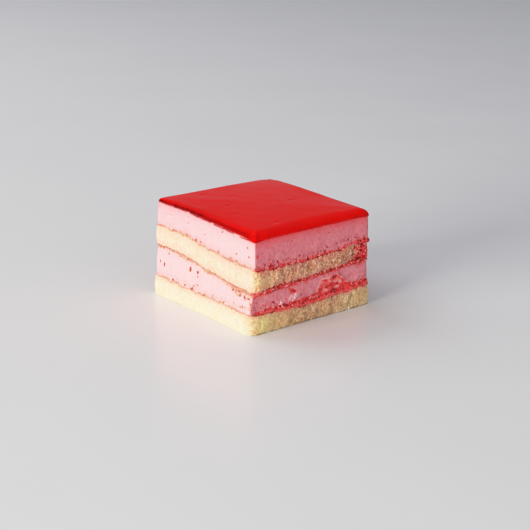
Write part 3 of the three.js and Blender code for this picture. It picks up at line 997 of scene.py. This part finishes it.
def scatterCrumbs(layer, slot):
    settings = crumbs[slot]
    random = np.random.default_rng(settings["seed"] + len(layers))
    fewer, reach = fewerCrumbs
    chance = columns.byFace(settings["perSquareMm"]) * (1 - fewer * columns.nearTo(2, reach))
    chance = chance * (layer.top - layer.foot) / mm
    count = int(chance.sum() * columns.gap / mm)
    column = random.choice(columns.count, count, p=chance / chance.sum())
    row = random.integers(0, layer.rows, count)
    if slot == "berry_soak":
        reddish = layer.marks["soak"][column, row] > 0.5
        column, row = column[reddish], row[reddish]
    small, large = settings["size"]
    sizes = (small + (large - small) * random.random(len(column)) ** 2) * mm
    spots = layer.points()[column, row]
    spots[:, :2] -= columns.way[column] * (settings["sunk"] * sizes)[:, None]
    marks = {name: values[column, row] for name, values in layer.marks.items()}
    marks["tone"] = np.interp(random.random(len(column)), (0, 1), settings["tone"])
    meshCrumbs(layer.node + "_crumbs", spots, sizes, marks, settings["seed"], crumbBall, slot)


def surfaceSpot(along, height):
    # the point of the cut faces at a place along them and a height, and the way out from there
    column = int(columns.at(along)) % columns.count
    way = columns.way[column]
    for layer in layers.values():
        if layer.foot[column] <= height <= layer.top[column]:
            out = np.interp(height, layer.heights[column], layer.out[column])
            return np.append(columns.start[column] + way * out, height), way
    raise ValueError(f"no layer at {along}, {height}")


def placeLumps(name, slot, seed, places):
    along, heights, radii, tones = np.transpose(places)
    sizes = radii * mm
    spots = []
    for place, height, size in zip(along, heights, sizes):
        spot, way = surfaceSpot(place, height * mm)
        spot[:2] -= way * 0.5 * size  # half sunk into the face
        spot[2] = max(spot[2], 0.6 * size)  # and none into the floor
        spots.append(spot)
    marks = {"tone": tones}
    if slot == "berry_soak":
        # the soak lumps sit on the left face and are coloured with its painted window light
        marks["paintedWindowLight"] = marks["soak"] = np.ones(len(tones))
    if slot == "sponge":
        marks["warm"] = np.where(heights > 10, 0.5, 0.1)
    meshCrumbs(name, np.array(spots), sizes, marks, seed, lumpBall, slot)


def curlPlaces():
    turns = np.linspace(0, 2 * math.pi, curl["crumbs"], endpoint=False)
    across = curl["along"] + curl["radius"] * mm * np.cos(turns) / columns.faceLength
    up = curl["height"] + curl["radius"] * np.sin(turns)
    return [(place, height, curl["size"], curl["tone"]) for place, height in zip(across, up)]


finishes = {"sponge": spongeFinish(), "mousse": mousseFinish(), "berry_soak": soakFinish()}
makers = {"sponge": (sponge, shapeSponge), "mousse": (mousse, shapeMousse), "berry_soak": (soak, shapeSoak)}
layers = {}

below = None
for node in layerForms:
    slot = next(slot for slot in makers if node.startswith(slot))
    settings, shapeLayer = makers[slot]
    layers[node] = CutLayer(node, below, settings["rounding"])
    below = layers[node]
    shapeLayer(below)
    meshLayer(below, finishes[slot])
    if slot in crumbs:
        scatterCrumbs(below, slot)

lumps["sponge_lumps"]["places"] += curlPlaces()
for name, settings in lumps.items():
    placeLumps(name, **settings)


# Glaze: set jelly with a rounded shoulder and a rippled, glossy top

glaze = {
    "deepColour": (0.86, 0.002, 0.002),
    "colour": (1.0, 0.005, 0.003),
    "paintedShoulderShadeColour": (0.22, 0.001, 0.001),  # painted shade: the left shoulder is coloured darker, as light that falls there runs on into the jelly
    # painted shade under the glaze's edge
    "paintedRimShadeColour": (0.10, 0.0, 0.0),
    "paintedShoulderShade": (1.0, 0.0, 0.6, 0.6),  # how much of the painted shoulder shade each side has
    "gap": 0.3 * mm,
    "coreInset": 11 * mm,
    "cornerColumns": 48,
    "soften": 0.8 * mm,  # rounds off the frame's facets
    "lip": 0.16 * mm,  # rounding where the shoulder meets the mousse
    "lipProbe": 0.33 * mm,  # over the foot, where the lip stands out furthest
    "sink": 0.15 * mm,  # the hidden foot lies this far inside the mousse
    "footInset": 0.7 * mm,  # and this far in from the lip
    "narrowest": 2.5 * mm,  # the shoulder ends no nearer than this to the core
    "crestInset": 0.5 * mm,  # from the end of the shoulder, where the top is measured
    "rim": 0.6 * mm,  # height of the painted dark rim on the left, shade under the glaze's edge
    "tooth": 0.35 * mm,  # size of its unevenness
    "drip": (0.6 * mm, 1.6 * mm),  # how far the near corner hangs down, and how wide
    "softCorner": (0.9 * mm, 1.8 * mm),  # how far the shoulder is drawn in there, and how wide
    "lipRows": 5,
    "shoulderRows": 24,
    "topRows": 44,
    "dome": 0.25 * mm,
    "ripples": ((9 * mm, 0.006 * mm), (2.6 * mm, 0.003 * mm)),  # size and depth
}
# Dents in the top: where, how wide both ways and how deep, in mm
dents = [
    (-12, 4.8, 1.1, 0.6, 0.2), (-16.1, -4.7, 0.9, 0.6, 0.12), (-3.8, 12.9, 1.2, 0.8, 0.12),
    (-11.1, -19.6, 1.0, 0.6, 0.18), (-11, 20, 1.1, 0.8, 0.12), (10.3, -2.5, 1.6, 0.9, 0.12),
]


def waves(x, y, size, seed):
    # slow uneven ripples from a few crossing waves
    random = np.random.default_rng(seed)
    height = np.zeros_like(x)
    for _ in range(9):
        angle, phase = random.random(2) * 2 * math.pi
        turn = 2 * math.pi / (size * (0.7 + 0.6 * random.random()))
        height += np.sin(turn * (x * math.cos(angle) + y * math.sin(angle)) + phase)
    return height / 2.1


def measureGlaze(ring):
    # foot and reach of the lip, how far the shoulder runs in from there, and the height it comes up to
    tree = nodeTree("berry_glaze")
    turn = math.radians(45)
    measured = []
    for start, way, square in zip(ring.start, ring.way, ring.square):
        out = glaze["coreInset"]
        for _ in range(2):
            foot = rayHit(tree, *(start + way * (out - glaze["footInset"])), -1, (0, 0, 1)).z
            lip = foot + glaze["lipProbe"]
            out = reachTo(tree, start, lip, way)
        crest = glaze["narrowest"]
        for _ in range(3):
            top = rayHit(tree, *(start + way * (crest - glaze["crestInset"])), 1, (0, 0, -1)).z
            halfway = reachTo(tree, start, lip + (top - lip) * math.sin(turn), way)
            run = (out - halfway) / (1 - math.cos(turn))
            crest = max(out - run, glaze["narrowest"])
        measured.append((foot, out * square, run, top))
    foot, out, run, top = ring.evenOut(np.array(measured), glaze["soften"]).T
    return foot, out / ring.square, run, top


def glazeSide(ring, lipFoot, lipOut, run, topEdge):
    # rows of points from the hidden foot round the lip and up over the shoulder
    lip = glaze["lip"]
    amount, reach = glaze["softCorner"]
    drawnIn = amount * ring.nearTo(1, reach)
    places = [(lipOut - glaze["footInset"], lipFoot - glaze["sink"])]
    for turn in np.radians(np.linspace(-80, 0, glaze["lipRows"], endpoint=False)):
        places.append((lipOut - lip * (1 - math.cos(turn)), lipFoot + lip * (1 + math.sin(turn))))
    for turn in np.linspace(0, math.pi / 2, glaze["shoulderRows"]):
        out = lipOut - run * (1 - math.cos(turn)) - drawnIn * math.sin(turn)
        places.append((out, lipFoot + lip + (topEdge - lipFoot - lip) * math.sin(turn)))
    return [np.column_stack([ring.start + ring.way * out[:, None], height]) for out, height in places]


def glazeTop(shoulder, middle):
    # rows of points from the shoulder in towards the middle, which come to lie even under a low dome
    flat = np.column_stack([shoulder[:, :2], np.ones(len(shoulder))])
    slope = np.linalg.lstsq(flat, shoulder[:, 2], rcond=None)[0]
    unevenness = shoulder[:, 2] - flat @ slope
    rows = []
    for inward in [*np.linspace(1, 0.02, glaze["topRows"])[1:], 0]:
        spot = middle + (shoulder[:, :2] - middle) * inward
        height = spot @ slope[:2] + slope[2] + unevenness * inward ** 6 + glaze["dome"] * (1 - inward ** 2)
        rows.append(np.column_stack([spot, height]))
    return rows[:-1], rows[-1][0]


def glazeMarks(ring, over, rise):
    # painted shade: the dark ragged rim, strongest on the left, and the shoulder's darker colour
    paintedRimShadeAlong = np.where(ring.along < 1, step(1.3 - 1.6 * ring.along), np.where(ring.along > 3.97, 0.8, 0.3))
    teeth = ring.evenOut(np.random.default_rng(54).standard_normal(ring.count), glaze["tooth"])
    teeth = np.clip(1 + 0.5 * teeth / teeth.std(), 0.3, 2) + 2 * ring.nearTo(0, 1.2 * mm)
    rim = step(1.2 - over / glaze["rim"] / teeth) * ring.evenOut(paintedRimShadeAlong, 0.8 * mm)
    # painted shade over the shoulder, on the left most
    shoulder = step(1.65 - 1.4 * rise) * ring.byFace(glaze["paintedShoulderShade"], 1.2 * mm)
    underShoulder = 1 + glaze["lipRows"]
    rim[underShoulder + glaze["shoulderRows"] // 2:] = 0
    shoulder[underShoulder + glaze["shoulderRows"]:] = 0
    return {"rim": rim, "shoulder": shoulder}


def glazePiece(finish):
    ring = Columns(glaze)
    lipFoot, lipOut, run, topEdge = measureGlaze(ring)
    amount, reach = glaze["drip"]
    lipFoot = lipFoot - amount * ring.nearTo(1, reach)
    lipTop = lipFoot + glaze["lip"]
    middle = ring.start.mean(axis=0)
    side = glazeSide(ring, lipFoot, lipOut, run, topEdge)
    top, tip = glazeTop(side[-1], middle)
    base = [*middle, (lipFoot - glaze["sink"]).mean()]
    rows = np.stack([*side, *top])
    over = rows[:, :, 2] - lipTop
    rise = np.clip(over / (topEdge - lipTop), 0, 1)
    x, y = rows[:, :, 0], rows[:, :, 1]
    for seed, (size, depth) in enumerate(glaze["ripples"], 51):
        rows[:, :, 2] += depth * rise ** 2 * waves(x, y, size, seed)
    for dent in dents:
        atX, atY, across, up, depth = np.array(dent) * mm
        away = ((x - atX) / across) ** 2 + ((y - atY) / up) ** 2
        rows[:, :, 2] -= depth * np.exp(-away) * rise ** 2
    points = np.concatenate([rows.reshape(-1, 3), [tip, base]])
    number = np.arange(len(points) - 2).reshape(len(rows), ring.count)
    quads = np.concatenate([ringQuads(low, high) for low, high in zip(number, number[1:])])
    topFan = ringFan(number[-1], len(points) - 2)
    baseFan = ringFan(number[0], len(points) - 1)[:, [1, 0, 2]]
    faces = [*quads.tolist(), *topFan.tolist(), *baseFan.tolist()]
    piece = makePiece("berry_glaze_set", points, faces, finish)
    addMarks(piece, glazeMarks(ring, over, rise))
    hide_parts("berry_glaze")
    print("glaze faces", len(piece.data.polygons))


def glazeFinish():
    finish = Finish(
        "berry_glaze", Specular_IOR_Level=0.25, IOR=1.42,
        Subsurface_Weight=0.3, Subsurface_Radius=(1.0, 0.05, 0.03), Subsurface_Scale=2.0 * mm,
    )
    cloud = finish.noise(7 * mm)
    fine = finish.noise(1.1 * mm)
    jelly = finish.blend((0.5 * cloud).within(), glaze["colour"], glaze["deepColour"])
    # painted shade: the shoulder darker on the left
    jelly = finish.blendByMark("shoulder", jelly, glaze["paintedShoulderShadeColour"])
    # painted shade: the dark rim at the glaze's foot
    jelly = finish.blendByMark("rim", jelly, glaze["paintedRimShadeColour"])
    finish.set(Base_Color=jelly, Roughness=0.08 + 0.1 * fine, Normal=finish.bump(fine, 0.006 * mm))
    return finish


glazePiece(glazeFinish())


# Floor, light and camera

ground = {"half": 6.0, "patch": 60 * mm, "greys": ((0.3, (0.80, 0.79, 0.81)), (0.7, (0.82, 0.81, 0.83)))}
lights = {
    "window": {"at": (-1.1, -0.03, 0.12), "size": (0.66, 0.3), "watts": 27.5, "colour": (1, 1, 0.88)},
    "behind": {"at": (-0.25, 0.75, 0.7), "size": (0.9, 0.6), "watts": 4.2, "colour": (1, 1, 1)},
    "fill": {"at": (-0.1, -0.9, 0.4), "size": (0.6, 0.6), "watts": 1.1, "colour": (1, 1, 1)},
}
lightsAim = Vector((0, 0, 0.015))
room = {
    "colour": (0.96, 0.98, 1.04),
    "light": 0.385,  # brightness as light
    "mirrored": (0.28, 0.11),  # and as seen in gloss, near the horizon and higher up
    "horizon": (0.2, 0.36),
    "nearSide": 0.1,  # how bright the side with the camera is for that
    "sides": (-0.4, 0.4),  # between that side and the far one
}
view = {
    "azimuth": -41.2, "elevation": 18.2, "roll": 1.4,  # degrees
    "distance": 494 * mm,
    "aim": (1.1 * mm, -4.66 * mm, 16.9 * mm),  # to the right, upwards in the picture, and over the floor
    "focal": 1400, "picture": 530,  # pixels
    "sensor": 36,
    "nearest": 0.01,
}
# How the film takes light: true up to the mid tones, then easing off towards white
response = [(0, 0), (0.35, 0.35), (0.65, 0.65), (1.04, 0.817), (1.5, 0.917), (2.2, 0.973), (4, 1)]


def makeFloor():
    finish = Finish("floor", Roughness=0.25, Specular_IOR_Level=0.3)
    finish.set(Base_Color=finish.ramp(finish.noise(ground["patch"]), *ground["greys"]))
    half = ground["half"]
    mesh = bpy.data.meshes.new("floor")
    corners = [(-half, -half, 0), (half, -half, 0), (half, half, 0), (-half, half, 0)]
    mesh.from_pydata(corners, [], [(0, 1, 2, 3)])
    mesh.materials.append(finish.material)
    floor = bpy.data.objects.new("floor", mesh)
    bpy.context.scene.collection.objects.link(floor)


def makeLights():
    for name, settings in lights.items():
        lamp = bpy.data.lights.new(name, "AREA")
        lamp.shape = "RECTANGLE"
        lamp.size, lamp.size_y = settings["size"]
        lamp.energy = settings["watts"]
        lamp.color = settings["colour"]
        holder = bpy.data.objects.new(name, lamp)
        holder.location = settings["at"]
        holder.visible_glossy = False
        holder.rotation_euler = (lightsAim - holder.location).to_track_quat("-Z", "Y").to_euler()
        bpy.context.scene.collection.objects.link(holder)


def makeRoom():
    world = bpy.data.worlds.new("room")
    bpy.context.scene.world = world
    nodes = Nodes(world)
    way = nodes.node("ShaderNodeTexCoord").outputs["Generated"]
    way = nodes.node("ShaderNodeSeparateXYZ", inputs={0: way}).outputs
    x, y, z = (Value(nodes, way[axis]) for axis in "XYZ")
    mirrored = nodes.mapRange(z, room["horizon"], room["mirrored"], "SMOOTHSTEP")
    mirrored = mirrored * nodes.mapRange(x + y, room["sides"], (room["nearSide"], 1))
    inGloss = nodes.node("ShaderNodeLightPath").outputs["Is Glossy Ray"]
    inputs = {"Factor": inGloss, "A": room["light"], "B": mirrored}
    brightness = nodes.node("ShaderNodeMix", inputs=inputs).outputs["Result"]
    inputs = {"Color": (*room["colour"], 1), "Strength": brightness}
    background = nodes.node("ShaderNodeBackground", inputs=inputs)
    nodes.node("ShaderNodeOutputWorld", inputs={"Surface": background.outputs[0]})


def makeCamera():
    low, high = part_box("berry_glaze")
    turn, tilt, roll = (math.radians(view[name]) for name in ("azimuth", "elevation", "roll"))
    back = Vector((math.sin(turn) * math.cos(tilt), -math.cos(turn) * math.cos(tilt), math.sin(tilt)))
    right = Vector((math.cos(turn), math.sin(turn), 0))
    up = back.cross(right)
    sideways, upwards, height = view["aim"]
    aim = Vector(((low.x + high.x) / 2, (low.y + high.y) / 2, height)) + right * sideways + up * upwards
    rolledRight = right * math.cos(roll) + up * math.sin(roll)
    rolledUp = up * math.cos(roll) - right * math.sin(roll)
    lens = bpy.data.cameras.new("camera")
    lens.sensor_width = view["sensor"]
    lens.lens = view["focal"] / view["picture"] * view["sensor"]
    lens.clip_start = view["nearest"]
    camera = bpy.data.objects.new("camera", lens)
    turned = Matrix((rolledRight, rolledUp, back)).transposed().to_4x4()
    camera.matrix_world = Matrix.Translation(aim + back * view["distance"]) @ turned
    bpy.context.scene.collection.objects.link(camera)
    bpy.context.scene.camera = camera


def setResponse():
    settings = bpy.context.scene.view_settings
    settings.view_transform = "Standard"
    settings.use_curve_mapping = True
    mapping = settings.curve_mapping
    mapping.clip_max_x = response[-1][0]
    curve = mapping.curves[3]  # the one for all colours together
    curve.points[-1].location = response[-1]
    for place, level in response[1:-1]:
        curve.points.new(place, level)
    for point in curve.points:
        point.handle_type = "AUTO_CLAMPED"
    mapping.update()


makeFloor()
makeLights()
makeRoom()
makeCamera()
setResponse()
print("stage ready")
